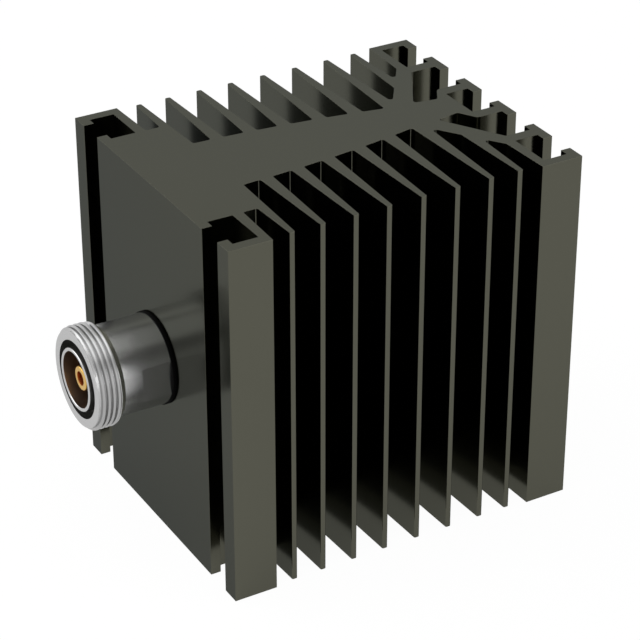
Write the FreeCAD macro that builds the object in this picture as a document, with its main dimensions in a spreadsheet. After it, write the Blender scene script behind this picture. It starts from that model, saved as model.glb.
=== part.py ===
import FreeCAD, Part

import math
import os
import re

import Sketcher
from FreeCAD import Rotation, Vector

# Driving dimensions in millimetres and degrees. Depths run back from the front face of the heat sink.
SIZES = [
    # the extruded profile
    ("sink_width", 90.0, "across the outer posts"),
    ("sink_depth", 108.0, "front face to back face"),
    ("sink_length", 108.0, "height, along the extrusion"),
    ("post_depth", 12.85, "front and back T-slot plates at their outer ends"),
    ("draft_angle", 2.1, "each side of a fin, and the inner side of both plates"),
    ("block_width", 56.0, "solid block behind the front face"),
    ("spine_front_width", 28.7, "spine where it leaves the block"),
    ("spine_back_width", 13.7, "spine where the back arms branch off"),
    ("spine_curve", 360.0, "radius of the spine's bowed sides"),
    ("front_fin_1", 19.1, "middle of the first fin, from the front face"),
    ("front_fin_2", 28.15, "second fin, from the front face"),
    ("front_fin_3", 38.05, "third fin, from the front face"),
    ("front_fin_4", 48.1, "fourth fin, from the front face"),
    ("back_fin_4", 49.4, "fifth fin, from the back face"),
    ("back_fin_3", 38.9, "sixth fin, from the back face"),
    ("back_fin_2", 28.35, "seventh fin, from the back face"),
    ("back_fin_1", 19.2, "eighth fin, from the back face"),
    ("fin_span", 88.0, "tip to tip"),
    ("fin_tip", 1.6, "thickness of a fin at its tip"),
    ("fin_round", 0.45, "corner radius of a fin's tip"),
    ("root_round", 0.8, "radius where fins and plates meet the core"),
    ("arm_angle", 34.4, "outer side of the back arms, from straight across"),
    ("slot_pitch", 17.5, "between neighbouring T-slots"),
    ("slot_mouth", 8.4, "opening between a T-slot's lips"),
    ("slot_inner", 13.75, "width behind the lips"),
    ("slot_lip", 3.0, "thickness of the lips"),
    ("slot_depth", 10.35, "face to slot floor"),
    ("neck_top_width", 10.4, "neck between the hub pockets, at its back"),
    ("neck_base_width", 12.9, "neck between the hub pockets, at its front"),
    ("pocket_angle", 30.7, "slope of the hub pockets' sides"),
    ("pocket_shoulder", 11.1, "back face to where a pocket turns in under the middle slot"),
    ("pocket_floor", 10.9, "back face to a pocket's outer corner"),
    ("pocket_round", 0.9, "corner radius of a hub pocket"),
    ("shoulder_round", 1.75, "radius of a pocket's shoulder"),
    # the jack's shell
    ("gasket_thickness", 0.85, "ring between shell and heat sink"),
    ("gasket_diameter", 26.6, "outside of that ring"),
    ("body_diameter", 26.0, "plain part of the shell"),
    ("flat_width", 24.0, "across the wrench flats"),
    ("flat_length", 8.85, "length of the wrench flats"),
    ("body_length", 14.25, "seat to the start of the flare"),
    ("flare_length", 1.6, "cone from the body up to the thread"),
    ("thread_diameter", 29.0, "coupling thread over its crests, pitch 1.5"),
    ("thread_length", 5.9, "threaded length"),
    ("lead_chamfer", 0.8, "chamfer at the front of the thread"),
    ("groove_diameter", 22.3, "outside of the groove in the shell's face"),
    ("groove_depth", 7.4, "depth of that groove"),
    ("spigot_diameter", 22.0, "threaded spigot in the heat sink"),
    ("spigot_reach", 11.0, "depth of the spigot's end"),
    ("stack_bore", 19.2, "bore for the beads and spacers"),
    ("stack_front", 6.0, "front face to the shoulder that stops the stack, forwards"),
    # the line inside the jack
    ("sleeve_diameter", 18.0, "outer contact, outside"),
    ("line_diameter", 16.0, "outer conductor, inside"),
    ("sleeve_proud", 0.55, "outer contact in front of the shell's face"),
    ("sleeve_flange", 1.5, "flange at the back of the outer contact"),
    ("edge_chamfer", 0.2, "small chamfers on turned edges"),
    ("bead_thickness", 3.0, "front bead"),
    ("seal_section", 1.0, "thickness of the O-ring"),
    ("seal_groove", 1.3, "width of the O-ring's groove"),
    ("rear_bead_thickness", 2.0, "rear bead"),
    ("lock_ring_length", 3.0, "lock ring"),
    ("lock_ring_bore", 14.0, "bore of the lock ring"),
    ("spanner_slot", 1.6, "width of the slots across the lock ring"),
    ("spanner_depth", 1.0, "depth of those slots"),
    ("centre_diameter", 7.0, "centre socket and front of the inner conductor"),
    ("contact_setback", 1.0, "centre socket behind the shell's face"),
    ("mouth_bore", 4.1, "bore of the centre socket"),
    ("mouth_round", 0.35, "rounded outer edge of the centre socket's mouth"),
    ("mouth_lip", 1.2, "closed lip in front of the contact spring"),
    ("spring_diameter", 5.4, "contact spring, outside"),
    ("spring_length", 9.0, "contact spring"),
    ("spring_slot", 0.4, "slots between the spring's fingers"),
    ("socket_stud", 3.2, "stud behind the centre socket"),
    ("socket_stud_grip", 4.0, "length of that stud in the inner conductor"),
    # the load behind the jack
    ("mouth_depth", 12.0, "wide mouth of the heat sink's bore"),
    ("load_bore", 16.0, "bore round the load"),
    ("bore_clearance", 1.0, "space behind the heat plug"),
    ("hole_clearance", 0.5, "space at the end of a stud's hole"),
    ("tube_start", 14.0, "depth of the resistor's live end"),
    ("tube_length", 32.0, "ceramic tube"),
    ("tube_diameter", 6.0, "ceramic tube, outside, and rear of the inner conductor"),
    ("tube_bore", 3.2, "ceramic tube, inside"),
    ("cap_diameter", 6.6, "end caps, outside"),
    ("cap_skirt", 3.0, "length of a cap over the tube"),
    ("cap_wall", 1.0, "end of a cap"),
    ("cap_stem", 3.0, "stem of the front cap"),
    ("cap_stem_length", 4.5, "length of that stem"),
    ("collet_slot", 0.5, "slots in the inner conductor's collet"),
    ("collet_slot_length", 4.0, "length of those slots"),
    ("taper_flange", 21.8, "flange of the taper sleeve"),
    ("taper_bore", 14.0, "taper sleeve's bore at its front"),
    ("taper_curve", 270.0, "radius of the closing bore"),
    ("plug_length", 10.0, "heat plug"),
    ("plug_stud_setback", 6.0, "plug's stud behind the resistor's live end"),
]

# Places worked out from the sizes, as formulas of the sheet's names
FRONT_TO_ORIGIN = "-sink_depth / 2"
AXIS_HEIGHT = "sink_length / 2"
HALF_WIDTH = "sink_width / 2"
SEAT = "-gasket_thickness"
FLARE_BACK = "-(gasket_thickness + body_length)"
FLARE_FRONT = "-(gasket_thickness + body_length + flare_length)"
THREAD_FRONT = "-(gasket_thickness + body_length + flare_length + thread_length)"
SHELL_FACE = "-(gasket_thickness + body_length + flare_length + thread_length + lead_chamfer)"
STACK_FRONT = "-stack_front"
BEAD_FRONT = "sleeve_flange - stack_front"
BEAD_BACK = "sleeve_flange + bead_thickness - stack_front"
LOCK_FRONT = "spigot_reach - lock_ring_length"
REAR_BEAD_FRONT = "spigot_reach - lock_ring_length - rear_bead_thickness"
SOCKET_FRONT = f"{SHELL_FACE} + contact_setback"
CONDUCTOR_END = "tube_start - cap_wall"
TUBE_END = "tube_start + tube_length"
PLUG_FRONT = "tube_start + tube_length + cap_wall"
PLUG_END = f"{PLUG_FRONT} + plug_length"
BORE_END = f"{PLUG_END} + bore_clearance"
FINS = [
    "front_fin_1",
    "front_fin_2",
    "front_fin_3",
    "front_fin_4",
    "sink_depth - back_fin_4",
    "sink_depth - back_fin_3",
    "sink_depth - back_fin_2",
    "sink_depth - back_fin_1",
]
ARM_START = "(sink_depth - back_fin_2)"
BACK_PLATE = "(sink_depth - post_depth)"

doc = FreeCAD.newDocument("dummy_load")
sheet = doc.addObject("Spreadsheet::Sheet", "Sizes")
for row, (alias, number, note) in enumerate(SIZES, start=1):
    sheet.set(f"A{row}", alias)
    sheet.set(f"B{row}", str(number))
    sheet.set(f"C{row}", note)
    sheet.setAlias(f"B{row}", alias)
doc.recompute()

parts = []


def formula(text):
    """Expression for the document from a formula of the sheet's names."""
    return re.sub(r"[a-z]+(?:_[a-z0-9]+)+", r"Sizes.\g<0>", text)


def value(text):
    """Number that a formula comes to."""
    return float(sheet.evalExpression(formula(text)))


def half(text):
    """Formula for half of a size."""
    return f"({text}) / 2"


def new_body(label, height=AXIS_HEIGHT):
    """Body whose own origin lies on the front face, at a height above the base."""
    body = doc.addObject("PartDesign::Body", label)
    body.Label = label
    body.setExpression("Placement.Base.y", formula(FRONT_TO_ORIGIN))
    body.setExpression("Placement.Base.z", formula(height))
    parts.append(body)
    return body


def origin_plane(body, role):
    """One of the body's own origin planes."""
    return next(item for item in body.Origin.OriginFeatures if item.Role == role)


def new_sketch(body, name, role):
    """Sketch on an origin plane of the body."""
    sketch = body.newObject("Sketcher::SketchObject", name)
    sketch.AttachmentSupport = [(origin_plane(body, role), "")]
    sketch.MapMode = "FlatFace"
    return sketch


def arc_between(start, end, radius):
    """Arc that bows to the right of the way from start to end; a negative radius bows it to the left."""
    chord = end - start
    sagitta = abs(radius) - math.sqrt(radius ** 2 - chord.Length ** 2 / 4)
    right = Vector(chord.y, -chord.x, 0).normalize()
    middle = (start + end) / 2 + right * math.copysign(sagitta, radius)
    return Part.Arc(start, middle, end)


def outline(sketch, corners):
    """Closed outline through the corners, each bound to the sheet.

    A corner is (across, up), or (across, up, radius) where the edge that leaves it is an arc.
    """
    first = sketch.GeometryCount
    count = len(corners)
    places = [Vector(value(corner[0]), value(corner[1]), 0) for corner in corners]
    edges = []
    ends = []
    for index, corner in enumerate(corners):
        start, end = places[index], places[(index + 1) % count]
        if len(corner) == 2:
            edges.append(Part.LineSegment(start, end))
            ends.append((1, 2))
        else:
            radius = value(corner[2])
            edges.append(arc_between(start, end, radius))
            ends.append((1, 2) if radius > 0 else (2, 1))
    sketch.addGeometry(edges)

    rules = []
    bound = []
    for index, corner in enumerate(corners):
        edge = first + index
        follower = (index + 1) % count
        joint = (edge, ends[index][1], first + follower, ends[follower][0])
        rules.append(Sketcher.Constraint("Coincident", *joint))
        for kind, text in (("DistanceX", corner[0]), ("DistanceY", corner[1])):
            if text == "0":
                axis = -2 if kind == "DistanceX" else -1
                rules.append(Sketcher.Constraint("PointOnObject", edge, ends[index][0], axis))
            else:
                bound.append((sketch.ConstraintCount + len(rules), text))
                rules.append(Sketcher.Constraint(kind, -1, 1, edge, ends[index][0], value(text)))
        if len(corner) == 3:
            size = f"abs({corner[2]})"
            bound.append((sketch.ConstraintCount + len(rules), size))
            rules.append(Sketcher.Constraint("Radius", edge, value(size)))
    sketch.addConstraint(rules)
    for index, text in bound:
        sketch.setExpression(f"Constraints[{index}]", formula(text))


def rectangle(across_low, across_high, up_low, up_high):
    """Corners of a rectangle."""
    return [(across_low, up_low), (across_high, up_low), (across_high, up_high), (across_low, up_high)]


def mirrored(right_side):
    """Closed outline from its right half, listed counter-clockwise from the front to the back."""
    left_side = [(f"-({across})", up) for across, up in reversed(right_side)]
    return right_side + left_side


def pocket(body, sketch, name):
    """Cut a sketch through the whole body, both ways, and make sure that it removed something."""
    before = body.Shape.Volume
    cut = body.newObject("PartDesign::Pocket", name)
    cut.Profile = sketch
    cut.Type = "ThroughAll"
    cut.Midplane = True
    doc.recompute()
    if body.Shape.Volume >= before:
        raise RuntimeError(f"{name} cuts nothing")
    return cut


def turned(label, corners):
    """Piece turned about the jack's axis; a corner is (depth, radius)."""
    body = new_body(label)
    sketch = new_sketch(body, f"{label}_section", "YZ_Plane")
    outline(sketch, corners)
    spin = body.newObject("PartDesign::Revolution", f"{label}_turning")
    spin.Profile = sketch
    spin.ReferenceAxis = (sketch, ["H_Axis"])
    spin.Angle = 360
    doc.recompute()
    return body


def ring(front, back, outer, inner):
    """Section of a plain ring between two depths; outer and inner are diameters."""
    return rectangle(front, back, half(inner), half(outer))


def cross_slots(body, name, width, front, back):
    """Two slots at right angles through a turned piece, between two depths."""
    sketch = new_sketch(body, f"{name}_outline", "XY_Plane")
    outline(sketch, rectangle(f"-{half(width)}", half(width), front, back))
    cut = pocket(body, sketch, name)
    spread = body.newObject("PartDesign::PolarPattern", f"{name}_pattern")
    spread.Originals = [cut]
    spread.Axis = (origin_plane(body, "Y_Axis"), [""])
    spread.Angle = 90
    spread.Occurrences = 2
    body.Tip = spread
    doc.recompute()


def upright_edges(shape, wanted):
    """Names of the edges along the extrusion whose corner is wanted; wanted reads (x, depth, edge)."""
    names = []
    for number, edge in enumerate(shape.Edges, start=1):
        start, end = edge.firstVertex().Point, edge.lastVertex().Point
        upright = (start - end).cross(Vector(0, 0, 1)).Length < 1e-6 < abs(start.z - end.z)
        if upright and wanted(start.x, start.y, edge):
            names.append(f"Edge{number}")
    return names


def inner_corner(shape, edge):
    """True where the solid fills more than half of the space round an upright edge."""
    reach = 0.05
    samples = 12
    middle = edge.CenterOfMass
    filled = 0
    for step in range(samples):
        turn = 2 * math.pi * (step + 0.5) / samples
        point = middle + Vector(math.cos(turn), math.sin(turn), 0) * reach
        filled += shape.isInside(point, 1e-6, False)
    return filled > samples / 2


def round_edges(body, base, names, size, label):
    """Fillet on the named edges."""
    fillet = body.newObject("PartDesign::Fillet", label)
    fillet.Base = (base, names)
    fillet.setExpression("Radius", formula(size))
    doc.recompute()
    return fillet


def pad(body, sketch, name):
    """Extrude a sketch of the profile over the whole length."""
    extrusion = body.newObject("PartDesign::Pad", name)
    extrusion.Profile = sketch
    extrusion.setExpression("Length", formula("sink_length"))
    doc.recompute()
    return extrusion


def t_slot(middle, mouth, inward):
    """Outline of a T-slot; mouth is the depth of its face and inward the sign of the way in."""
    lip = f"{mouth} {inward} slot_lip"
    floor = f"{mouth} {inward} slot_depth"
    near, far = f"{middle} - {half('slot_mouth')}", f"{middle} + {half('slot_mouth')}"
    left, right = f"{middle} - {half('slot_inner')}", f"{middle} + {half('slot_inner')}"
    return [
        (near, mouth),
        (far, mouth),
        (far, lip),
        (right, lip),
        (right, floor),
        (left, floor),
        (left, lip),
        (near, lip),
    ]


# Heat sink: core, fins and back arms as one profile, then the slots, the hub pockets and the bore
heat_sink = new_body("heat_sink", "0")

core = new_sketch(heat_sink, "front_outline", "XY_Plane")
outline(core, mirrored([
    (HALF_WIDTH, "0"),
    (HALF_WIDTH, "post_depth"),
    (half("block_width"), f"post_depth + ({HALF_WIDTH} - {half('block_width')}) * tan(draft_angle)"),
    (half("block_width"), "front_fin_1"),
]))
pad(heat_sink, core, "front_block")

spine = new_sketch(heat_sink, "spine_outline", "XY_Plane")
outline(spine, [
    (f"-{half('spine_front_width')}", "front_fin_1"),
    (half("spine_front_width"), "front_fin_1", "spine_curve"),
    (half("spine_back_width"), ARM_START),
    (f"-{half('spine_back_width')}", ARM_START, "spine_curve"),
])
pad(heat_sink, spine, "spine")

arm_rise = f"{BACK_PLATE} - {ARM_START} + {half('spine_back_width')} * tan(arm_angle)"
arm_run = f"({arm_rise} - {HALF_WIDTH} * tan(draft_angle)) / (tan(arm_angle) - tan(draft_angle))"
hub = new_sketch(heat_sink, "back_outline", "XY_Plane")
outline(hub, mirrored([
    (half("spine_back_width"), ARM_START),
    (arm_run, f"{ARM_START} + ({arm_run} - {half('spine_back_width')}) * tan(arm_angle)"),
    (HALF_WIDTH, BACK_PLATE),
    (HALF_WIDTH, "sink_depth"),
]))
pad(heat_sink, hub, "back_arms")

blades = new_sketch(heat_sink, "fin_outlines", "XY_Plane")
for fin in FINS:
    root = f"{half('fin_tip')} + {half('fin_span')} * tan(draft_angle)"
    outline(blades, [
        ("0", f"{fin} - ({root})"),
        (half("fin_span"), f"{fin} - {half('fin_tip')}"),
        (half("fin_span"), f"{fin} + {half('fin_tip')}"),
        ("0", f"{fin} + {root}"),
        (f"-{half('fin_span')}", f"{fin} + {half('fin_tip')}"),
        (f"-{half('fin_span')}", f"{fin} - {half('fin_tip')}"),
    ])
fins = pad(heat_sink, blades, "fins")

tip = value(half("fin_span"))
tip_edges = upright_edges(fins.Shape, lambda x, depth, edge: abs(abs(x) - tip) < 1e-4)
tips = round_edges(heat_sink, fins, tip_edges, "fin_round", "fin_tip_rounds")
root_edges = upright_edges(
    tips.Shape, lambda x, depth, edge: abs(x) < tip - value("fin_tip") and inner_corner(tips.Shape, edge)
)
roots = round_edges(heat_sink, tips, root_edges, "root_round", "root_rounds")

slots = new_sketch(heat_sink, "slot_outlines", "XY_Plane")
for step in (-2, 2):
    outline(slots, t_slot(f"{step} * slot_pitch", "0", "+"))
for step in (-2, 0, 2):
    outline(slots, t_slot(f"{step} * slot_pitch", "sink_depth", "-"))
pocket(heat_sink, slots, "plain_slots")

pocket_left, pocket_right = f"slot_pitch - {half('slot_inner')}", f"slot_pitch + {half('slot_inner')}"
shoulder_depth, floor_depth = "sink_depth - pocket_shoulder", "sink_depth - pocket_floor"
neck_back = f"{shoulder_depth} - ({pocket_left} - {half('neck_top_width')}) * tan(pocket_angle)"
neck_front = f"{floor_depth} - ({pocket_right} - {half('neck_base_width')}) * tan(pocket_angle)"
mouth_left, mouth_right = f"slot_pitch - {half('slot_mouth')}", f"slot_pitch + {half('slot_mouth')}"
open_slot = [
    (mouth_right, "sink_depth"),
    (mouth_left, "sink_depth"),
    (mouth_left, "sink_depth - slot_lip"),
    (pocket_left, "sink_depth - slot_lip"),
    (pocket_left, shoulder_depth),
    (half("neck_top_width"), neck_back),
    (half("neck_base_width"), neck_front),
    (pocket_right, floor_depth),
    (pocket_right, "sink_depth - slot_lip"),
    (mouth_right, "sink_depth - slot_lip"),
]
deep_slots = new_sketch(heat_sink, "deep_slot_outlines", "XY_Plane")
outline(deep_slots, open_slot)
outline(deep_slots, [(f"-({across})", depth) for across, depth in open_slot])
hollow = pocket(heat_sink, deep_slots, "deep_slots")


def at_corner(across, depth):
    """Test for an upright edge at a corner, on either side of the middle."""
    across, depth = value(across), value(depth)
    return lambda x, y, edge: abs(abs(x) - across) < 1e-4 and abs(y - depth) < 1e-4


shoulder_edges = upright_edges(hollow.Shape, at_corner(pocket_left, shoulder_depth))
shoulders = round_edges(heat_sink, hollow, shoulder_edges, "shoulder_round", "shoulder_rounds")
pocket_corners = [
    at_corner(half("neck_top_width"), neck_back),
    at_corner(half("neck_base_width"), neck_front),
    at_corner(pocket_right, floor_depth),
]
pocket_edges = upright_edges(
    shoulders.Shape, lambda *place: any(corner(*place) for corner in pocket_corners)
)
round_edges(heat_sink, shoulders, pocket_edges, "pocket_round", "pocket_rounds")

bore = new_sketch(heat_sink, "bore_section", "YZ_Plane")
bore.setExpression("AttachmentOffset.Base.y", formula(AXIS_HEIGHT))
outline(bore, [
    ("0", "0"),
    (BORE_END, "0"),
    (BORE_END, half("load_bore")),
    ("mouth_depth", half("load_bore")),
    ("mouth_depth", half("spigot_diameter")),
    ("0", half("spigot_diameter")),
])
solid_volume = heat_sink.Shape.Volume
boring = heat_sink.newObject("PartDesign::Groove", "stepped_bore")
boring.Profile = bore
boring.ReferenceAxis = (bore, ["H_Axis"])
boring.Angle = 360
doc.recompute()
if heat_sink.Shape.Volume >= solid_volume:
    raise RuntimeError("the stepped bore cuts nothing")

# Shell of the jack, and the ring under it
turned("base_gasket", ring(SEAT, "0", "gasket_diameter", "spigot_diameter"))

shell = turned("connector_shell", [
    (SHELL_FACE, half("groove_diameter")),
    (f"{SHELL_FACE} + groove_depth", half("groove_diameter")),
    (f"{SHELL_FACE} + groove_depth", half("sleeve_diameter")),
    (STACK_FRONT, half("sleeve_diameter")),
    (STACK_FRONT, half("stack_bore")),
    ("spigot_reach", half("stack_bore")),
    ("spigot_reach", f"{half('spigot_diameter')} - edge_chamfer"),
    ("spigot_reach - edge_chamfer", half("spigot_diameter")),
    (SEAT, half("spigot_diameter")),
    (SEAT, half("body_diameter")),
    (FLARE_BACK, half("body_diameter")),
    (FLARE_FRONT, half("thread_diameter")),
    (THREAD_FRONT, half("thread_diameter")),
    (SHELL_FACE, f"{half('thread_diameter')} - lead_chamfer"),
])
flats = new_sketch(shell, "flat_outlines", "XY_Plane")
flat_front = f"{SEAT} - flat_length"
outline(flats, rectangle(half("flat_width"), half("thread_diameter"), flat_front, SEAT))
outline(flats, rectangle(f"-{half('thread_diameter')}", f"-{half('flat_width')}", flat_front, SEAT))
pocket(shell, flats, "wrench_flats")

# Outer line: contact sleeve, beads, spacer and lock ring, stacked from the shell's shoulder
sleeve_front = f"{SHELL_FACE} - sleeve_proud"
turned("outer_contact", [
    (f"{sleeve_front} + edge_chamfer", half("line_diameter")),
    (BEAD_FRONT, half("line_diameter")),
    (BEAD_FRONT, half("stack_bore")),
    (STACK_FRONT, half("stack_bore")),
    (STACK_FRONT, half("sleeve_diameter")),
    (f"{sleeve_front} + edge_chamfer", half("sleeve_diameter")),
    (sleeve_front, f"{half('sleeve_diameter')} - edge_chamfer"),
    (sleeve_front, f"{half('line_diameter')} + edge_chamfer"),
])
bead_middle = f"({BEAD_FRONT} + {BEAD_BACK}) / 2"
groove_floor = f"{half('stack_bore')} - seal_section"
turned("front_bead", [
    (BEAD_FRONT, half("socket_stud")),
    (BEAD_BACK, half("socket_stud")),
    (BEAD_BACK, half("stack_bore")),
    (f"{bead_middle} + {half('seal_groove')}", half("stack_bore")),
    (f"{bead_middle} + {half('seal_groove')}", groove_floor),
    (f"{bead_middle} - {half('seal_groove')}", groove_floor),
    (f"{bead_middle} - {half('seal_groove')}", half("stack_bore")),
    (BEAD_FRONT, half("stack_bore")),
])
bead_seal = doc.addObject("Part::Torus", "bead_seal")
bead_seal.Label = "bead_seal"
bead_seal.Placement.Rotation = Rotation(Vector(1, 0, 0), 90)
bead_seal.setExpression("Radius1", formula(f"{half('stack_bore')} - {half('seal_section')}"))
bead_seal.setExpression("Radius2", formula(half("seal_section")))
bead_seal.setExpression("Placement.Base.y", formula(f"{FRONT_TO_ORIGIN} + {bead_middle}"))
bead_seal.setExpression("Placement.Base.z", formula(AXIS_HEIGHT))
parts.append(bead_seal)
turned("line_sleeve", ring(BEAD_BACK, REAR_BEAD_FRONT, "stack_bore", "line_diameter"))
turned("rear_bead", ring(REAR_BEAD_FRONT, LOCK_FRONT, "stack_bore", "tube_diameter"))
lock_ring = turned("lock_ring", ring(LOCK_FRONT, "spigot_reach", "stack_bore", "lock_ring_bore"))
cross_slots(lock_ring, "spanner_slots", "spanner_slot", "spigot_reach - spanner_depth", "spigot_reach")

# Centre line: socket, its spring, and the rod with a collet that grips the resistor's front cap
spring_front = f"{SOCKET_FRONT} + mouth_lip"
spring_back = f"{spring_front} + spring_length"
stud_end = f"{BEAD_BACK} + socket_stud_grip"
turned("inner_contact", [
    (SOCKET_FRONT, half("mouth_bore")),
    (spring_front, half("mouth_bore")),
    (spring_front, half("spring_diameter")),
    (spring_back, half("spring_diameter")),
    (spring_back, "0"),
    (stud_end, "0"),
    (stud_end, half("socket_stud")),
    (BEAD_FRONT, half("socket_stud")),
    (BEAD_FRONT, half("centre_diameter")),
    (f"{SOCKET_FRONT} + mouth_round", half("centre_diameter"), "mouth_round"),
    (SOCKET_FRONT, f"{half('centre_diameter')} - mouth_round"),
])
contact_spring = turned("contact_spring", ring(spring_front, spring_back, "spring_diameter", "mouth_bore"))
cross_slots(contact_spring, "finger_slots", "spring_slot", spring_front, f"{spring_back} - mouth_lip")

stud_hole_end = f"{stud_end} + hole_clearance"
stem_hole_front = f"{CONDUCTOR_END} - cap_stem_length - hole_clearance"
inner_conductor = turned("inner_conductor", [
    (BEAD_BACK, half("socket_stud")),
    (stud_hole_end, half("socket_stud")),
    (stud_hole_end, "0"),
    (stem_hole_front, "0"),
    (stem_hole_front, half("cap_stem")),
    (CONDUCTOR_END, half("cap_stem")),
    (CONDUCTOR_END, half("tube_diameter")),
    (REAR_BEAD_FRONT, half("tube_diameter")),
    (REAR_BEAD_FRONT, half("centre_diameter")),
    (BEAD_BACK, half("centre_diameter")),
])
collet_front = f"{CONDUCTOR_END} - collet_slot_length"
cross_slots(inner_conductor, "collet_slots", "collet_slot", collet_front, CONDUCTOR_END)

# The load: capped ceramic tube, the taper round it and the plug that takes its heat
turned("front_cap", [
    (f"{CONDUCTOR_END} - cap_stem_length", "0"),
    ("tube_start", "0"),
    ("tube_start", half("tube_diameter")),
    ("tube_start + cap_skirt", half("tube_diameter")),
    ("tube_start + cap_skirt", half("cap_diameter")),
    (CONDUCTOR_END, half("cap_diameter")),
    (CONDUCTOR_END, half("cap_stem")),
    (f"{CONDUCTOR_END} - cap_stem_length", half("cap_stem")),
])
turned("load_resistor", ring("tube_start", TUBE_END, "tube_diameter", "tube_bore"))
turned("rear_cap", [
    (f"{TUBE_END} - cap_skirt", half("tube_diameter")),
    (TUBE_END, half("tube_diameter")),
    (TUBE_END, half("tube_bore")),
    (PLUG_FRONT, half("tube_bore")),
    (PLUG_FRONT, half("cap_diameter")),
    (f"{TUBE_END} - cap_skirt", half("cap_diameter")),
])
turned("taper_sleeve", [
    ("spigot_reach", half("taper_bore")),
    ("tube_start", half("taper_bore"), "-taper_curve"),
    (f"{TUBE_END} - cap_skirt", half("cap_diameter")),
    (PLUG_FRONT, half("cap_diameter")),
    (PLUG_FRONT, half("load_bore")),
    ("mouth_depth", half("load_bore")),
    ("mouth_depth", half("taper_flange")),
    ("spigot_reach", half("taper_flange")),
])
turned("heat_plug", [
    ("tube_start + plug_stud_setback", "0"),
    (PLUG_END, "0"),
    (PLUG_END, half("load_bore")),
    (PLUG_FRONT, half("load_bore")),
    (PLUG_FRONT, half("tube_bore")),
    ("tube_start + plug_stud_setback", half("tube_bore")),
])

doc.recompute()
for item in doc.Objects:
    if "Invalid" in item.State or "Error" in item.State:
        raise RuntimeError(f"{item.Label} failed: {item.State}")
for part in parts:
    if part.Shape.isNull() or not part.Shape.isValid() or len(part.Shape.Solids) != 1:
        raise RuntimeError(f"{part.Label} is not one valid solid")

os.makedirs("parts", exist_ok=True)
for part in parts:
    part.Shape.exportStep(f"parts/{part.Label}.step")
    print(f"{part.Label}: {part.Shape.Volume / 1000:.3f} cm3")
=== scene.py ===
"""Looks of the RF dummy load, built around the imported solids.

The heat sink is one black anodised extrusion, the jack in front of it is a plated 29 mm
coupling connector with a gilded centre socket, and the load itself lies hidden in the bore.
Sizes of the part are in millimetres and become metres where a mesh or a texture is made. Those
of the studio are in metres.
"""

from __future__ import annotations

import logging
import math
from dataclasses import dataclass, field
from enum import Enum
from typing import Any

import bmesh
import bpy
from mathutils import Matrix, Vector

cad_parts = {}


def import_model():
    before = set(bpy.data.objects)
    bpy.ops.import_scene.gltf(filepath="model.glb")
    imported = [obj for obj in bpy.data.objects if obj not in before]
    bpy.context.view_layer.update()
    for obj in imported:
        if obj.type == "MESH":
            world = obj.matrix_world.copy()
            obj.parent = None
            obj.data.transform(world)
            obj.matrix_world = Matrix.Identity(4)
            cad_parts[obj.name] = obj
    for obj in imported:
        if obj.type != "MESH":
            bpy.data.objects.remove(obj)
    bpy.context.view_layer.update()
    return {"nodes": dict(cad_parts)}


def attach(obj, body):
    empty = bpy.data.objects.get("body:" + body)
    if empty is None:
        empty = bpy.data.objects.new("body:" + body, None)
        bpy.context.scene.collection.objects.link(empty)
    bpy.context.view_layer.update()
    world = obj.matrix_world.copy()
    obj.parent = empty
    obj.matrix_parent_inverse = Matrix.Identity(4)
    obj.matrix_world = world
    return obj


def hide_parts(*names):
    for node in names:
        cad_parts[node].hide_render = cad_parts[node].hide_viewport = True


LOG = logging.getLogger("dummy_load")
MM = 0.001
BODY = "root"
JACK_HEIGHT = 54.0  # of the jack's axis over the floor
NOISE_RANGE = (0.3, 0.7)  # most of a noise texture's values lie between these
JOIN_DISTANCE = 0.002  # points that lie closer than this are one
JOIN_ANGLE = 0.4  # faces that turn by less than this, in degrees, are one


class Slot(Enum):
    """Material slots of the record."""

    EXTRUSION = "black_anodised_aluminium"
    SHELL = "white_bronze_plate"
    GOLD = "gold_plate"
    SILVER = "silver_plate"
    COPPER = "copper"
    RUBBER = "black_rubber"
    PTFE = "ptfe"
    CERAMIC = "ceramic"


def linear(colour: str) -> tuple[float, float, float, float]:
    """Turn an sRGB hex value into a linear colour.

    Args:
        colour: The value, such as "#56564d".

    Returns:
        Red, green, blue and an alpha of 1.
    """
    # The two pieces of the sRGB curve
    channels = [int(colour[start : start + 2], 16) / 255 for start in (1, 3, 5)]
    light = [c / 12.92 if c <= 0.04045 else ((c + 0.055) / 1.055) ** 2.4 for c in channels]
    return (light[0], light[1], light[2], 1.0)


def add_node(
    tree: bpy.types.NodeTree,
    kind: str,
    inputs: dict[str | int, Any] | None = None,
    **settings: Any,
) -> bpy.types.Node:
    """Add a node with its settings, values and links.

    Args:
        tree: The node tree.
        kind: Blender's name for the node.
        inputs: Input name or number to a value, or to the socket that feeds it.
        settings: Properties of the node.

    Returns:
        The new node.
    """
    node = tree.nodes.new(kind)
    for name, value in settings.items():
        setattr(node, name, value)
    for name, value in (inputs or {}).items():
        if isinstance(value, bpy.types.NodeSocket):
            tree.links.new(value, node.inputs[name])
        else:
            node.inputs[name].default_value = value
    return node


def compute(
    tree: bpy.types.NodeTree, operation: str, first: Any, second: Any = None
) -> bpy.types.NodeSocket:
    """Add a calculation with one or two numbers.

    Args:
        tree: The node tree.
        operation: Blender's name for the calculation.
        first: A number, or the socket that gives it.
        second: The second number or socket, if the calculation takes two.

    Returns:
        The result.
    """
    inputs = {0: first} if second is None else {0: first, 1: second}
    return add_node(tree, "ShaderNodeMath", inputs, operation=operation).outputs["Value"]


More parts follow.
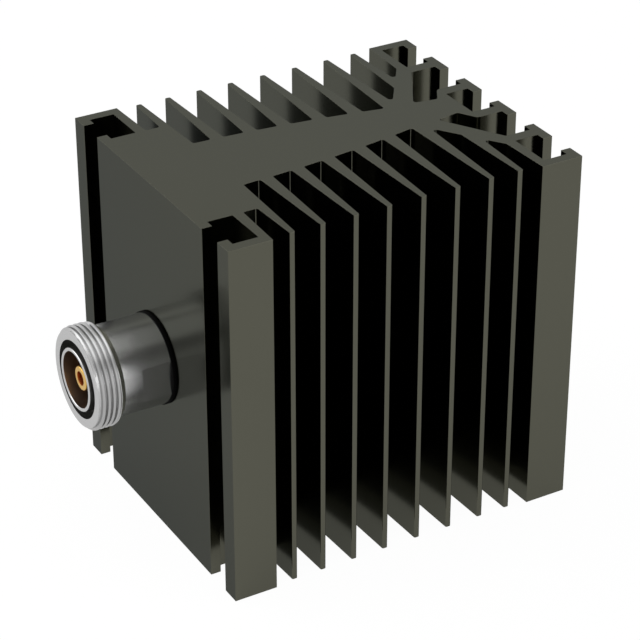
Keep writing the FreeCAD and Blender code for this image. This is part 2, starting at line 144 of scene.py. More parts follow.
def from_axis(
    tree: bpy.types.NodeTree, first: bpy.types.NodeSocket, second: bpy.types.NodeSocket
) -> tuple[bpy.types.NodeSocket, bpy.types.NodeSocket]:
    """Add the distance of a point from an axis.

    Args:
        tree: The node tree.
        first: The point's first coordinate square to the axis.
        second: The point's second coordinate square to the axis.

    Returns:
        Both coordinates as a vector, and the distance.
    """
    flat = add_node(tree, "ShaderNodeCombineXYZ", {"X": first, "Y": second}).outputs["Vector"]
    length = add_node(tree, "ShaderNodeVectorMath", {0: flat}, operation="LENGTH")
    return flat, length.outputs["Value"]


def add_noise(
    tree: bpy.types.NodeTree, place: bpy.types.NodeSocket, size: float, detail: float
) -> bpy.types.NodeSocket:
    """Add a noise that fills space.

    Args:
        tree: The node tree.
        place: The point.
        size: Size of the noise's coarsest spots, in millimetres.
        detail: How many finer layers it has.

    Returns:
        The noise, from 0 to 1.
    """
    inputs = {"Vector": place, "Scale": 1 / (size * MM), "Detail": detail}
    return add_node(tree, "ShaderNodeTexNoise", inputs).outputs["Fac"]


def join(mesh: bmesh.types.BMesh) -> None:
    """Join the points that coincide and the faces that lie flat against each other.

    Args:
        mesh: The mesh.
    """
    bmesh.ops.remove_doubles(mesh, verts=mesh.verts, dist=JOIN_DISTANCE * MM)
    bmesh.ops.dissolve_limit(
        mesh, angle_limit=math.radians(JOIN_ANGLE), verts=mesh.verts, edges=mesh.edges
    )


@dataclass(frozen=True)
class Finish:
    """A surface finish: what all of them share."""

    name: str
    slot: Slot
    colour: str
    roughness: float

    def material(self) -> bpy.types.Material:
        """Build the finish as a node material.

        Returns:
            The material.
        """
        material = bpy.data.materials.new(self.name)
        material.use_nodes = True
        tree = material.node_tree
        tree.nodes.clear()
        shader = add_node(tree, "ShaderNodeBsdfPrincipled", {"Roughness": self.roughness})
        shader.inputs["Base Color"].default_value = linear(self.colour)
        add_node(tree, "ShaderNodeOutputMaterial", {"Surface": shader.outputs["BSDF"]})
        self.detail(tree, shader)
        return material

    def detail(self, tree: bpy.types.NodeTree, shader: bpy.types.Node) -> None:
        """Add what is particular to the finish; the plain finish has nothing to add.

        Args:
            tree: The material's node tree.
            shader: Its shader.
        """

    def raise_surface(
        self,
        tree: bpy.types.NodeTree,
        shader: bpy.types.Node,
        height: bpy.types.NodeSocket,
        strength: float,
        relief: float,
    ) -> None:
        """Let a height texture raise the surface.

        Args:
            tree: The material's node tree.
            shader: Its shader.
            height: The height, from 0 to 1.
            strength: Share of the relief that shows.
            relief: Height of the relief, in millimetres.
        """
        inputs = {"Strength": strength, "Distance": relief * MM, "Height": height}
        bump = add_node(tree, "ShaderNodeBump", inputs)
        tree.links.new(bump.outputs["Normal"], shader.inputs["Normal"])

    def vary_gloss(
        self,
        tree: bpy.types.NodeTree,
        shader: bpy.types.Node,
        value: bpy.types.NodeSocket,
        spread: float,
    ) -> None:
        """Let a noise change the roughness.

        Args:
            tree: The material's node tree.
            shader: Its shader.
            value: The noise.
            spread: How far the roughness goes up and down.
        """
        low, high = NOISE_RANGE
        inputs = {
            "Value": value,
            "From Min": low,
            "From Max": high,
            "To Min": self.roughness - spread,
            "To Max": self.roughness + spread,
        }
        gloss = add_node(tree, "ShaderNodeMapRange", inputs)
        tree.links.new(gloss.outputs["Result"], shader.inputs["Roughness"])

    def vary_colour(
        self,
        tree: bpy.types.NodeTree,
        shader: bpy.types.Node,
        value: bpy.types.NodeSocket,
        share: float,
    ) -> None:
        """Let a noise make the colour darker and lighter.

        Args:
            tree: The material's node tree.
            shader: Its shader.
            value: The noise.
            share: Share of the colour that comes and goes.
        """
        shade = add_node(tree, "ShaderNodeMix", {"Factor": value}, data_type="RGBA")
        red, green, blue, _ = linear(self.colour)
        for socket, part in (("A", 1 - share), ("B", 1 + share)):
            tone = (min(1.0, channel * part) for channel in (red, green, blue))
            shade.inputs[socket].default_value = (*tone, 1.0)
        tree.links.new(shade.outputs["Result"], shader.inputs["Base Color"])


@dataclass(frozen=True)
class AnodisedExtrusion(Finish):
    """Bright-dipped 6063 aluminium, extruded and dyed black.

    The eye sees a dark olive mirror, softened a little by the oxide. The die leaves faint lines
    along the extrusion, and the cut ends carry the fine arcs of a large saw blade.
    """

    grazing_tint: tuple[float, float, float] = (0.415, 0.43, 0.476)
    die_line_pitch: float = 0.45
    die_line_length: float = 80.0
    saw_pitch: float = 0.8
    saw_radius: float = 210.0
    end_slope: float = 0.9
    mark_detail: float = 3.0
    line_grit: float = 0.6
    relief: float = 0.003
    relief_shown: float = 0.15
    gloss_spread: float = 0.015
    dye_cloud: float = 40.0
    unevenness: float = 0.02

    def detail(self, tree: bpy.types.NodeTree, shader: bpy.types.Node) -> None:
        """Add die lines, saw arcs and a slow change of the dye's depth.

        Args:
            tree: The material's node tree.
            shader: Its shader.
        """
        shader.inputs["Metallic"].default_value = 1.0
        shader.inputs["Specular Tint"].default_value = (*self.grazing_tint, 1.0)
        place = add_node(tree, "ShaderNodeTexCoord").outputs
        marks = self.marks(tree, place)
        self.raise_surface(tree, shader, marks, self.relief_shown, self.relief)
        self.vary_gloss(tree, shader, marks, self.gloss_spread)
        cloud = add_noise(tree, place["Object"], self.dye_cloud, detail=2.0)
        self.vary_colour(tree, shader, cloud, self.unevenness)

    def marks(
        self, tree: bpy.types.NodeTree, place: bpy.types.NodeOutputs
    ) -> bpy.types.NodeSocket:
        """Draw die lines along the sides and saw arcs on the cut ends.

        Args:
            tree: The material's node tree.
            place: Outputs of the texture coordinates.

        Returns:
            The height of the marks, from 0 to 1.
        """
        across = 1 / (self.die_line_pitch * MM)
        along = 1 / (self.die_line_length * MM)
        stretched = add_node(
            tree,
            "ShaderNodeMapping",
            {"Vector": place["Object"], "Scale": (across, across, along)},
        ).outputs["Vector"]
        lines = add_node(
            tree,
            "ShaderNodeTexNoise",
            {
                "Vector": stretched,
                "Scale": 1.0,
                "Detail": self.mark_detail,
                "Roughness": self.line_grit,
            },
        )
        blade = add_node(
            tree,
            "ShaderNodeVectorMath",
            {0: place["Object"], 1: (-self.saw_radius * MM, 0.0, 0.0)},
            operation="DISTANCE",
        ).outputs["Value"]
        arcs = add_node(
            tree,
            "ShaderNodeTexNoise",
            {"W": blade, "Scale": 1 / (self.saw_pitch * MM), "Detail": self.mark_detail},
            noise_dimensions="1D",
        )
        facing = add_node(tree, "ShaderNodeSeparateXYZ", {"Vector": place["Normal"]})
        upright = compute(tree, "ABSOLUTE", facing.outputs["Z"])
        is_end = compute(tree, "GREATER_THAN", upright, self.end_slope)
        inputs = {"Factor": is_end, "A": lines.outputs["Fac"], "B": arcs.outputs["Fac"]}
        return add_node(tree, "ShaderNodeMix", inputs).outputs["Result"]


@dataclass(frozen=True)
class TurnedMetal(Finish):
    """Metal turned on a lathe about the jack's axis, plated or bare.

    The tool leaves rings on a face and fine bands round a cylinder. The real feed of about
    0.08 mm is too fine to show, so the marks are drawn at feed_mark.
    """

    feed_mark: float = 0.22
    relief: float = 0.0012
    relief_shown: float = 0.1
    plating_cloud: float = 6.0
    gloss_spread: float = 0.01

    def detail(self, tree: bpy.types.NodeTree, shader: bpy.types.Node) -> None:
        """Add turning marks and a slight unevenness of the plating.

        Args:
            tree: The material's node tree.
            shader: Its shader.
        """
        shader.inputs["Metallic"].default_value = 1.0
        place = add_node(tree, "ShaderNodeTexCoord").outputs["Object"]
        centred = add_node(
            tree, "ShaderNodeMapping", {"Vector": place, "Location": (0, 0, -JACK_HEIGHT * MM)}
        ).outputs["Vector"]
        parts = add_node(tree, "ShaderNodeSeparateXYZ", {"Vector": centred}).outputs
        _, radius = from_axis(tree, parts["X"], parts["Z"])
        unrolled = add_node(tree, "ShaderNodeCombineXYZ", {"X": radius, "Y": parts["Y"]})
        marks = add_noise(tree, unrolled.outputs["Vector"], self.feed_mark, detail=2.0)
        self.raise_surface(tree, shader, marks, self.relief_shown, self.relief)
        clouds = add_noise(tree, place, self.plating_cloud, detail=3.0)
        self.vary_gloss(tree, shader, clouds, self.gloss_spread)


@dataclass(frozen=True)
class GrainedSolid(Finish):
    """A material that is not metal, with a fine grain in its surface and a slow mottling."""

    grain: float = 0.3
    relief: float = 0.01
    relief_shown: float = 0.4
    mottle_size: float = 4.0
    mottle: float = 0.1
    softness: float = 0.0
    gleam: float = 0.5

    def detail(self, tree: bpy.types.NodeTree, shader: bpy.types.Node) -> None:
        """Add the grain, the mottling and the light that a waxy material lets in.

        Args:
            tree: The material's node tree.
            shader: Its shader.
        """
        shader.inputs["Subsurface Weight"].default_value = self.softness
        shader.inputs["Subsurface Radius"].default_value = (MM, MM, MM)
        shader.inputs["Specular IOR Level"].default_value = self.gleam
        place = add_node(tree, "ShaderNodeTexCoord").outputs["Object"]
        grain = add_noise(tree, place, self.grain, detail=4.0)
        self.raise_surface(tree, shader, grain, self.relief_shown, self.relief)
        mottle = add_noise(tree, place, self.mottle_size, detail=3.0)
        self.vary_colour(tree, shader, mottle, self.mottle)


# Dyed oxide over bright aluminium: a dark olive mirror, dull enough to blur what it reflects
ANODISED = AnodisedExtrusion("anodised_extruded_aluminium", Slot.EXTRUSION, "#5f5f54", 0.17)
# White bronze over brass: a neutral grey metal, duller than silver, which mirrors the front
# plate in soft bands
WHITE_BRONZE = TurnedMetal("white_bronze_plated_brass", Slot.SHELL, "#c6c6c6", 0.24)
# The same plate on a reamed bore, a little duller; its dim, warm brown is painted shade and a
# painted reflection of the gold deeper in
BORE_SHADE_BRONZE = TurnedMetal("bore_painted_shade_bronze_plate", Slot.SHELL, "#b09a8a", 0.33)
# The same plate deep in a groove, a little duller as the tool left it; its darker grey is painted
# shade for the mouth's shadow
GROOVE_SHADE_BRONZE = TurnedMetal("groove_painted_shade_bronze_plate", Slot.SHELL, "#aaaaa7", 0.32)
# The same plate on the thread, a little duller from the thread cutter, and darker: painted shade
# that tones down its highlights
THREAD_SHADE_BRONZE = TurnedMetal("thread_painted_shade_bronze_plate", Slot.SHELL, "#b6b6b6", 0.31)
# Gold over nickel: warm yellow on the outside
GOLD = TurnedMetal("gold_plated_brass", Slot.GOLD, "#e0b660", 0.26)
# Gold inside the socket: its orange is a painted reflection of the light bouncing from wall to
# wall
GOLD_PAINTED_REFLECTION = TurnedMetal("gold_painted_reflection", Slot.GOLD, "#d87838", 0.45)
# Silver plating inside the jack: bright, almost white, with a faint warmth
SILVER = TurnedMetal("silver_plated_brass", Slot.SILVER, "#dedcd6", 0.22)
# Bare copper, freshly turned: salmon pink and bright
COPPER = TurnedMetal("turned_copper", Slot.COPPER, "#c9806a", 0.25)
# Carbon-filled rubber: dead black, without a gleam
RUBBER = GrainedSolid("moulded_black_rubber", Slot.RUBBER, "#050505", 0.9, gleam=0.08)
# Machined PTFE: milky white and waxy, with light inside it
PTFE = GrainedSolid("machined_ptfe", Slot.PTFE, "#e6e5e0", 0.42, softness=0.2, mottle=0.02)
# Resistive film on a ground ceramic tube: dark brown with a dull gleam
CERAMIC = GrainedSolid("film_on_ceramic", Slot.CERAMIC, "#4a403a", 0.45, grain=0.12)


@dataclass
class Workshop:
    """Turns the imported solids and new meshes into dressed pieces."""

    nodes: dict[str, bpy.types.Object]
    made: dict[str, bpy.types.Material] = field(default_factory=dict)

    def material(self, finish: Finish) -> bpy.types.Material:
        """The material of a finish, built once.

        Args:
            finish: The finish.

        Returns:
            Its material.
        """
        if finish.name not in self.made:
            self.made[finish.name] = finish.material()
        return self.made[finish.name]

    def colour_node(self, node: str, finish: Finish) -> None:
        """Give a solid that stays as it is its finish.

        Args:
            node: Name of the node.
            finish: Its finish.
        """
        slots = self.nodes[node].data.materials
        slots.clear()
        slots.append(self.material(finish))
        LOG.info("%s keeps its solid, finish %s", node, finish.name)

    def merged_copy(self, node: str) -> bmesh.types.BMesh:
        """A copy of a solid's mesh with its loose triangles joined into whole faces.

        Args:
            node: Name of the node.

        Returns:
            The joined mesh.
        """
        mesh = bmesh.new()
        mesh.from_mesh(self.nodes[node].data)
        join(mesh)
        return mesh

    def place(self, name: str, mesh: bmesh.types.BMesh, finish: Finish) -> bpy.types.Object:
        """Make an object of a mesh, with its finish.

        Args:
            name: Name of the piece.
            mesh: Its mesh, in metres and in place.
            finish: Its finish.

        Returns:
            The new object.
        """
        data = bpy.data.meshes.new(name)
        mesh.to_mesh(data)
        mesh.free()
        piece = bpy.data.objects.new(name, data)
        bpy.context.scene.collection.objects.link(piece)
        data.materials.append(self.material(finish))
        return piece

    def break_edges(
        self,
        piece: bpy.types.Object,
        width: float,
        sharp: float = 40.0,
        crease: float = 30.0,
        crisp: float = 50.0,
    ) -> None:
        """Break the edges that stand out and let broad faces keep their own normals.

        Inner corners stay as the cutter or the die left them.

        Args:
            piece: The piece.
            width: Width of the broken edge.
            sharp: Angle in degrees from which an outer edge is broken.
            crease: Angle in degrees from which any other edge stays a crisp line.
            crisp: Angle in degrees from which an edge is a crisp line once the others are broken.
        """
        mesh = bmesh.new()
        mesh.from_mesh(piece.data)
        weight = mesh.edges.layers.float.new("bevel_weight_edge")
        for edge in mesh.edges:
            turn = math.degrees(edge.calc_face_angle_signed(0.0))
            if turn > sharp:
                edge[weight] = 1.0
            elif abs(turn) > crease:
                edge.smooth = False
        for face in mesh.faces:
            face.smooth = True
        mesh.to_mesh(piece.data)
        mesh.free()
        bevel = piece.modifiers.new("broken_edges", "BEVEL")
        bevel.width = width * MM
        bevel.segments = 2
        bevel.limit_method = "WEIGHT"
        bevel.use_clamp_overlap = True
        self.freeze(piece)
        mesh = bmesh.new()
        mesh.from_mesh(piece.data)
        for edge in mesh.edges:
            if edge.calc_face_angle(0.0) > math.radians(crisp):
                edge.smooth = False
        mesh.to_mesh(piece.data)
        mesh.free()
        normals = piece.modifiers.new("broad_face_normals", "WEIGHTED_NORMAL")
        normals.keep_sharp = True
        self.freeze(piece)

    def freeze(self, piece: bpy.types.Object) -> None:
        """Turn a piece and its modifiers into a plain mesh.

        Args:
            piece: The piece.
        """
        evaluated = piece.evaluated_get(bpy.context.evaluated_depsgraph_get())
        frozen = bpy.data.meshes.new_from_object(evaluated)
        rough = piece.data
        piece.modifiers.clear()
        piece.data = frozen
        frozen.name = piece.name
        bpy.data.meshes.remove(rough)

    def mount(self, piece: bpy.types.Object, finish: Finish, *nodes: str) -> None:
        """Fix a finished piece to the part and let it stand for its nodes.

        Args:
            piece: The piece.
            finish: Its finish.
            nodes: The nodes that it replaces.
        """
        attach(piece, BODY)
        if nodes:
            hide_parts(*nodes)
        LOG.info("%s: %d faces, finish %s", piece.name, len(piece.data.polygons), finish.name)

    def dress_node(self, node: str, finish: Finish, edge: float) -> bpy.types.Object:
        """Replace a node by its own shape with broken edges and a finish.

        Args:
            node: Name of the node.
            finish: Its finish.
            edge: Width of the broken edges.

        Returns:
            The dressed piece.
        """
        piece = self.place(f"{node}_dressed", self.merged_copy(node), finish)
        self.break_edges(piece, edge)
        self.mount(piece, finish, node)
        return piece


@dataclass
class HeatSink:
    """The extruded profile, cut to length and anodised."""

    shop: Workshop
    edge: float = 0.06

    def build(self) -> None:
        """Dress the extrusion."""
        self.shop.dress_node("heat_sink", ANODISED, self.edge)


@dataclass
class CouplingThread:
    """The M29 x 1.5 thread on the shell, a ridge wound round its core."""

    shop: Workshop
    face: float
    crest_radius: float
    core_radius: float
    pitch: float = 1.5
    root_overlap: float = 0.06
    crest_width: float = 0.72
    root_width: float = 1.48
    crest_round: float = 0.2
    round_steps: int = 5
    length: float = 6.3
    lead_radius: float = 13.6
    least_depth: float = 0.01
    start_turn: float = 330.0
    steps_per_turn: int = 120

    def tree(self) -> bpy.types.GeometryNodeTree:
        """Build the node tree that winds the ridge and puts it in its place.

        Returns:
            The tree, with its sizes as named inputs.
        """
        tree = bpy.data.node_groups.new("wound_thread", "GeometryNodeTree")
        sockets = [(name, "INPUT", "NodeSocketFloat") for name in self.sizes()]
        sockets.append(("Material", "INPUT", "NodeSocketMaterial"))
        sockets.append(("Geometry", "OUTPUT", "NodeSocketGeometry"))
        for name, way, kind in sockets:
            tree.interface.new_socket(name=name, in_out=way, socket_type=kind)
        given = add_node(tree, "NodeGroupInput").outputs
        placed = add_node(
            tree,
            "GeometryNodeTransform",
            {
                "Geometry": self.lead_in(tree, given, self.wind(tree, given)),
                "Translation": (0.0, self.face * MM, JACK_HEIGHT * MM),
                "Rotation": (math.radians(-90), math.radians(self.start_turn), 0.0),
            },
        )
        smooth = add_node(
            tree, "GeometryNodeSetShadeSmooth", {"Geometry": placed.outputs["Geometry"]}
        )
        plain = add_node(
            tree, "GeometryNodeRealizeInstances", {"Geometry": smooth.outputs["Geometry"]}
        )
        plated = add_node(
            tree,
            "GeometryNodeSetMaterial",
            {"Geometry": plain.outputs["Geometry"], "Material": given["Material"]},
        )
        add_node(tree, "NodeGroupOutput", {"Geometry": plated.outputs["Geometry"]})
        return tree

    def wind(
        self, tree: bpy.types.NodeTree, given: bpy.types.NodeOutputs
    ) -> bpy.types.NodeSocket:
        """Wind the ridge's section along a helix about Z.

        Args:
            tree: The node tree.
            given: The tree's named inputs.

        Returns:
            The wound ridge.
        """
        helix = add_node(
            tree,
            "GeometryNodeCurveSpiral",
            {
                "Resolution": self.steps_per_turn,
                "Rotations": compute(tree, "DIVIDE", given["Length"], given["Pitch"]),
                "Start Radius": given["Middle radius"],
                "End Radius": given["Middle radius"],
                "Height": given["Length"],
            },
        )
        upright = add_node(
            tree, "GeometryNodeSetCurveNormal", {"Curve": helix.outputs["Curve"]}, mode="Z_UP"
        )
        ridge = add_node(
            tree,
            "GeometryNodeCurvePrimitiveQuadrilateral",
            {
                "Height": given["Ridge height"],
                "Bottom Width": given["Root width"],
                "Top Width": given["Crest width"],
                "Offset": 0.0,
            },
            mode="TRAPEZOID",
        )
        rounded = add_node(
            tree,
            "GeometryNodeFilletCurve",
            {
                "Curve": ridge.outputs["Curve"],
                "Radius": given["Crest round"],
                "Count": self.round_steps,
                "Limit Radius": True,
            },
            mode="POLY",
        )
        wound = add_node(
            tree,
            "GeometryNodeCurveToMesh",
            {
                "Curve": upright.outputs["Curve"],
                "Profile Curve": rounded.outputs["Curve"],
                "Fill Caps": True,
            },
        )
        return wound.outputs["Mesh"]

    def lead_in(
        self,
        tree: bpy.types.NodeTree,
        given: bpy.types.NodeOutputs,
        wound: bpy.types.NodeSocket,
    ) -> bpy.types.NodeSocket:
        """Cut the ridge off at the face and draw its start in to a chamfer.

        Args:
            tree: The node tree.
            given: The tree's named inputs.
            wound: The wound ridge.

        Returns:
            The ridge with its lead.
        """
        spot = add_node(tree, "GeometryNodeInputPosition").outputs["Position"]
        parts = add_node(tree, "ShaderNodeSeparateXYZ", {"Vector": spot}).outputs
        flat, radius = from_axis(tree, parts["X"], parts["Y"])
        depth = compute(tree, "MAXIMUM", parts["Z"], self.least_depth * MM)
        chamfer = compute(tree, "ADD", given["Lead radius"], depth)
        shrink = compute(tree, "DIVIDE", compute(tree, "MINIMUM", radius, chamfer), radius)
        drawn_in = add_node(
            tree, "ShaderNodeVectorMath", {0: flat, "Scale": shrink}, operation="SCALE"
        )
        height = add_node(tree, "ShaderNodeCombineXYZ", {"Z": depth})
        chamfered = add_node(
            tree,
            "ShaderNodeVectorMath",
            {0: drawn_in.outputs["Vector"], 1: height.outputs["Vector"]},
            operation="ADD",
        )
        inputs = {"Geometry": wound, "Position": chamfered.outputs["Vector"]}
        return add_node(tree, "GeometryNodeSetPosition", inputs).outputs["Geometry"]

    def sizes(self) -> dict[str, float]:
        """Give the tree's named sizes.

        Returns:
            Name of each input and its size in metres.
        """
        bottom = self.core_radius - self.root_overlap
        return {
            "Pitch": self.pitch * MM,
            "Length": self.length * MM,
            "Middle radius": (bottom + self.crest_radius) / 2 * MM,
            "Ridge height": (self.crest_radius - bottom) * MM,
            "Crest width": self.crest_width * MM,
            "Root width": self.root_width * MM,
            "Crest round": self.crest_round * MM,
            "Lead radius": self.lead_radius * MM,
        }

    def build(self) -> None:
        """Wind the thread and turn it into a plain mesh."""
        data = bpy.data.meshes.new("coupling_thread")
        piece = bpy.data.objects.new("coupling_thread", data)
        bpy.context.scene.collection.objects.link(piece)
        winding = piece.modifiers.new("winding", "NODES")
        winding.node_group = self.tree()
        # The thread's finish is darker, as painted shade over its highlights
        given: dict[str, Any] = dict(self.sizes(), Material=self.shop.material(THREAD_SHADE_BRONZE))
        for item in winding.node_group.interface.items_tree:
            if item.in_out == "INPUT":
                winding[item.identifier] = given[item.name]
        self.shop.freeze(piece)
        self.shop.mount(piece, THREAD_SHADE_BRONZE)


@dataclass
class Jack:
    """The connector: shell, thread, gasket, outer contact and centre socket."""

    shop: Workshop
    front_face: float = -54.0
    seat: float = 0.85
    flat_half_width: float = 12.0
    flat_length: float = 8.85
    flat_wall: float = 0.001
    body_radius: float = 13.0
    body_length: float = 14.25
    flare_length: float = 1.6
    thread_length: float = 5.9
    lead_chamfer: float = 0.8
    crest_radius: float = 14.5
    core_radius: float = 13.72
    runout: float = 0.75
    runout_land: float = 0.25
    groove_radius: float = 11.15
    groove_depth: float = 7.4
    sleeve_radius: float = 9.0
    line_radius: float = 8.0
    mouth_radius: float = 2.05
    stack_radius: float = 9.6
    stack_front: float = 6.0
    spigot_radius: float = 11.0
    spigot_reach: float = 11.0
    steps: int = 192
    edge: float = 0.14
    crease: float = 20.0
    sleeve_edge: float = 0.04
    socket_edge: float = 0.03
    gasket_edge: float = 0.05
    wall_margin: float = 0.02
    wall_slope: float = 0.3

    def face(self) -> float:
        """Find the shell's front face.

        Returns:
            Its place along the axis, in the part's frame.
        """
        reach = self.seat + self.body_length + self.flare_length + self.thread_length
        return self.front_face - reach - self.lead_chamfer

    def section(self) -> list[tuple[float, float]]:
        """The shell's section.

        Returns:
            Radius and place along the axis of each corner, once round the section.
        """
        face = self.face()
        flare_front = self.front_face - self.seat - self.body_length - self.flare_length
        flare_back = flare_front + self.flare_length
        seat = self.front_face - self.seat
        return [
            (self.groove_radius, face),
            (self.core_radius, face),
            (self.core_radius, flare_front - self.runout_land - self.runout),
            (self.crest_radius, flare_front - self.runout_land),
            (self.crest_radius, flare_front),
            (self.body_radius, flare_back),
            (self.body_radius, seat - self.flat_length - self.flat_wall),
            (self.body_radius, seat - self.flat_length),
            (self.body_radius, seat),
            (self.spigot_radius, seat),
            (self.spigot_radius, self.front_face + self.spigot_reach),
            (self.stack_radius, self.front_face + self.spigot_reach),
            (self.stack_radius, self.front_face - self.stack_front),
            (self.sleeve_radius, self.front_face - self.stack_front),
            (self.sleeve_radius, face + self.groove_depth),
            (self.groove_radius, face + self.groove_depth),
        ]

    def shell_mesh(self) -> bmesh.types.BMesh:
        """Turn the shell's section and mill its two flats.

        Returns:
            The closed mesh of the shell.
        """
        edge_of_flat = math.acos(self.flat_half_width / self.body_radius)
        turns = {2 * math.pi * step / self.steps for step in range(self.steps)}
        turns |= {edge_of_flat, math.pi - edge_of_flat}
        turns |= {math.pi + edge_of_flat, 2 * math.pi - edge_of_flat}
        section = self.section()
        flat_front = self.front_face - self.seat - self.flat_length
        mesh = bmesh.new()
        rings = []
        for turn in sorted(turns):
            ring = []
            for radius, depth in section:
                x, height = radius * math.cos(turn), radius * math.sin(turn)
                if radius == self.body_radius and flat_front <= depth:
                    x = max(-self.flat_half_width, min(self.flat_half_width, x))
                spot = Vector((x, depth, JACK_HEIGHT + height)) * MM
                ring.append(mesh.verts.new(spot))
            rings.append(ring)
        for ring, following in zip(rings, rings[1:] + rings[:1]):
            for index in range(len(section)):
                after = (index + 1) % len(section)
                mesh.faces.new((ring[index], ring[after], following[after], following[index]))
        join(mesh)
        bmesh.ops.recalc_face_normals(mesh, faces=mesh.faces)
        return mesh

    def build(self) -> None:
        """Build the connector's pieces."""
        shell = self.shop.place("connector_shell_dressed", self.shell_mesh(), WHITE_BRONZE)
        self.shop.break_edges(shell, self.edge, crease=self.crease)
        # The groove's walls: darker, as painted shade
        self.paint_recess_shade(shell, self.groove_radius, GROOVE_SHADE_BRONZE)
        self.shop.mount(shell, WHITE_BRONZE, "connector_shell")
        CouplingThread(self.shop, self.face(), self.crest_radius, self.core_radius).build()
        sleeve = self.shop.dress_node("outer_contact", WHITE_BRONZE, self.sleeve_edge)
        # The sleeve's wall in the groove: darker, as painted shade
        self.paint_recess_shade(sleeve, self.sleeve_radius, GROOVE_SHADE_BRONZE)
        # The sleeve's bore: brown, as painted shade and painted reflection of the gold
        self.paint_recess_shade(sleeve, self.line_radius, BORE_SHADE_BRONZE)
        socket = self.shop.dress_node("inner_contact", GOLD, self.socket_edge)
        # The socket's mouth: orange, as painted reflection
        self.paint_recess_shade(socket, self.mouth_radius, GOLD_PAINTED_REFLECTION)
        self.shop.dress_node("base_gasket", RUBBER, self.gasket_edge)
        # The spring deep in the socket: wholly orange, as painted reflection
        self.shop.dress_node("contact_spring", GOLD_PAINTED_REFLECTION, self.socket_edge)

    def paint_recess_shade(self, piece: bpy.types.Object, radius: float, finish: Finish) -> None:
        """Give the walls up to a radius their own, duller finish, whose colour carries painted
        shade and painted reflections of the recess.

        Args:
            piece: The dressed piece.
            radius: Radius of the outermost wall.
            finish: The walls' finish, with the recess's painted shade or painted reflection in its
                colour.
        """
        piece.data.materials.append(self.shop.material(finish))
        # Walls near the axis that face across it take the colour with painted shade
        wall = (radius + self.wall_margin) * MM
        for polygon in piece.data.polygons:
            reach = math.hypot(polygon.center.x, polygon.center.z - JACK_HEIGHT * MM)
            if reach < wall and abs(polygon.normal.y) < self.wall_slope:
                polygon.material_index = len(piece.data.materials) - 1


@dataclass
class HiddenLoad:
    """What lies inside the jack and the bore: beads, rods, resistor and plug."""

    shop: Workshop
    finishes: dict[str, Finish] = field(
        default_factory=lambda: {
            "front_bead": PTFE,
            "bead_seal": RUBBER,
            "line_sleeve": SILVER,
            "rear_bead": PTFE,
            "lock_ring": SILVER,
            "inner_conductor": SILVER,
            "front_cap": SILVER,
            "load_resistor": CERAMIC,
            "rear_cap": SILVER,
            "taper_sleeve": SILVER,
            "heat_plug": COPPER,
        }
    )

    def build(self) -> None:
        """Give each hidden solid its finish."""
        for node, finish in self.finishes.items():
            self.shop.colour_node(node, finish)


@dataclass(frozen=True)
class SoftBox:
    """A rectangular studio lamp that looks at the part."""

    name: str
    place: tuple[float, float, float]
    size: tuple[float, float]
    power: float

    def hang(self, target: Vector) -> None:
        """Hang the lamp.

        Args:
            target: The point that it looks at.
        """
        data = bpy.data.lights.new(self.name, "AREA")
        data.shape = "RECTANGLE"
        data.size, data.size_y = self.size
        data.energy = self.power
        lamp = bpy.data.objects.new(self.name, data)
        lamp.location = self.place
        lamp.rotation_euler = (target - lamp.location).to_track_quat("-Z", "Y").to_euler()
        bpy.context.scene.collection.objects.link(lamp)


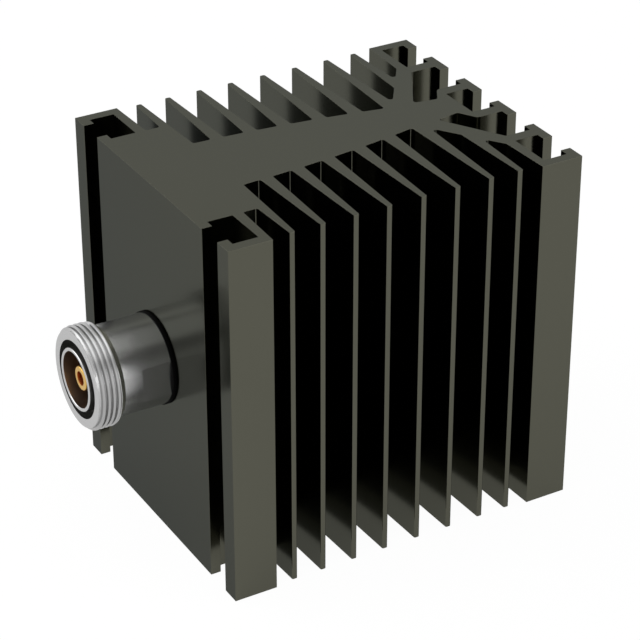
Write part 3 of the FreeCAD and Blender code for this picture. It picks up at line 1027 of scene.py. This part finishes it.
@dataclass
class Studio:
    """Floor, background, lamps and camera."""

    eye: tuple[float, float, float] = (0.52336, -0.30323, 0.39997)
    gaze: tuple[float, float, float] = (-0.75076, 0.43463, -0.49745)
    sensor: float = 36.0
    lens: float = 138.0
    shift: tuple[float, float] = (-0.0062, -0.0142)
    clip: tuple[float, float] = (0.01, 20.0)
    lit_point: tuple[float, float, float] = (0.0, 0.0, 0.05)
    floor_size: float = 6.0
    floor_gap: float = 0.0002
    floor_colour: str = "#f4f4f4"
    # Share of plain white in the floor, as the eye and as metal sees it
    floor_white: float = 0.94
    floor_mirrored: float = 0.52
    # A little over 1, which makes up for the paint, so that the floor meets the background
    floor_glow: float = 1.03
    # Strength of the light that the background throws on the part
    ambient: float = 0.3
    # In metal the background goes from white to the ceiling's grey over this band of heights
    wall_band: tuple[float, float] = (0.42, 0.56)
    ceiling: float = 0.61
    lamps: tuple[SoftBox, ...] = (
        SoftBox("overhead", (0.0, -0.3, 1.3), (1.2, 1.2), 5.0),
        SoftBox("right", (1.1, 1.0, 0.5), (1.2, 1.0), 5.0),
        SoftBox("front_left", (-1.0, -1.3, 0.9), (1.4, 1.4), 9.0),
    )

    def camera(self) -> None:
        """Set up the photograph's camera."""
        data = bpy.data.cameras.new("photo_camera")
        data.sensor_width = self.sensor
        data.lens = self.lens
        data.shift_x, data.shift_y = self.shift
        data.clip_start, data.clip_end = self.clip
        camera = bpy.data.objects.new("photo_camera", data)
        camera.location = self.eye
        camera.rotation_euler = Vector(self.gaze).to_track_quat("-Z", "Y").to_euler()
        bpy.context.scene.collection.objects.link(camera)
        bpy.context.scene.camera = camera

    def by_ray(
        self, tree: bpy.types.NodeTree, ambient: float, seen: float, mirrored: Any
    ) -> bpy.types.NodeSocket:
        """Choose a number by what kind of ray arrives.

        Args:
            tree: The tree of the floor's or the world's material.
            ambient: Number for the rays that light the part.
            seen: Number for camera and transmission rays.
            mirrored: Number, or socket, for the rays that metal reflects.

        Returns:
            The socket that gives the number.
        """
        path = add_node(tree, "ShaderNodeLightPath").outputs
        direct = compute(tree, "MAXIMUM", path["Is Camera Ray"], path["Is Transmission Ray"])
        inputs = {"Factor": path["Is Glossy Ray"], "A": ambient, "B": mirrored}
        in_metal = add_node(tree, "ShaderNodeMix", inputs).outputs["Result"]
        inputs = {"Factor": direct, "A": in_metal, "B": seen}
        return add_node(tree, "ShaderNodeMix", inputs).outputs["Result"]

    def world(self) -> None:
        """Set up the background: white to the eye, in metal white low down and greyer overhead."""
        world = bpy.data.worlds.new("studio_white")
        world.use_nodes = True
        tree = world.node_tree
        tree.nodes.clear()
        heading = add_node(tree, "ShaderNodeTexCoord").outputs["Generated"]
        rise = add_node(tree, "ShaderNodeSeparateXYZ", {"Vector": heading}).outputs["Z"]
        low, high = self.wall_band
        wall = add_node(
            tree,
            "ShaderNodeMapRange",
            {
                "Value": rise,
                "From Min": low,
                "From Max": high,
                "To Min": 1.0,
                "To Max": self.ceiling,
            },
            interpolation_type="SMOOTHSTEP",
        )
        light = add_node(
            tree,
            "ShaderNodeBackground",
            {
                "Color": (1, 1, 1, 1),
                "Strength": self.by_ray(tree, self.ambient, 1.0, wall.outputs["Result"]),
            },
        )
        add_node(tree, "ShaderNodeOutputWorld", {"Surface": light.outputs["Background"]})
        bpy.context.scene.world = world

    def floor(self) -> None:
        """Lay the pale floor, which keeps a faint shadow of the part."""
        half = self.floor_size / 2
        corners = [(-half, -half), (half, -half), (half, half), (-half, half)]
        data = bpy.data.meshes.new("floor")
        data.from_pydata([(x, y, -self.floor_gap) for x, y in corners], [], [(0, 1, 2, 3)])
        floor = bpy.data.objects.new("floor", data)
        bpy.context.scene.collection.objects.link(floor)
        material = bpy.data.materials.new("studio_floor")
        material.use_nodes = True
        tree = material.node_tree
        tree.nodes.clear()
        paint = add_node(tree, "ShaderNodeBsdfDiffuse", {"Color": linear(self.floor_colour)})
        glow = add_node(
            tree, "ShaderNodeEmission", {"Color": (1, 1, 1, 1), "Strength": self.floor_glow}
        )
        mixed = add_node(
            tree,
            "ShaderNodeMixShader",
            {
                "Fac": self.by_ray(tree, 0.0, self.floor_white, self.floor_mirrored),
                1: paint.outputs["BSDF"],
                2: glow.outputs["Emission"],
            },
        )
        add_node(tree, "ShaderNodeOutputMaterial", {"Surface": mixed.outputs["Shader"]})
        data.materials.append(material)

    def build(self) -> None:
        """Set up the whole studio."""
        bpy.context.scene.view_settings.view_transform = "Standard"
        self.camera()
        self.world()
        self.floor()
        for lamp in self.lamps:
            lamp.hang(Vector(self.lit_point))


def main() -> None:
    """Build the part and its studio."""
    logging.basicConfig(level=logging.INFO, format="%(name)s: %(message)s")
    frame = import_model()
    shop = Workshop(frame["nodes"])
    HeatSink(shop).build()
    Jack(shop).build()
    HiddenLoad(shop).build()
    Studio().build()


if __name__ == "__main__":
    main()
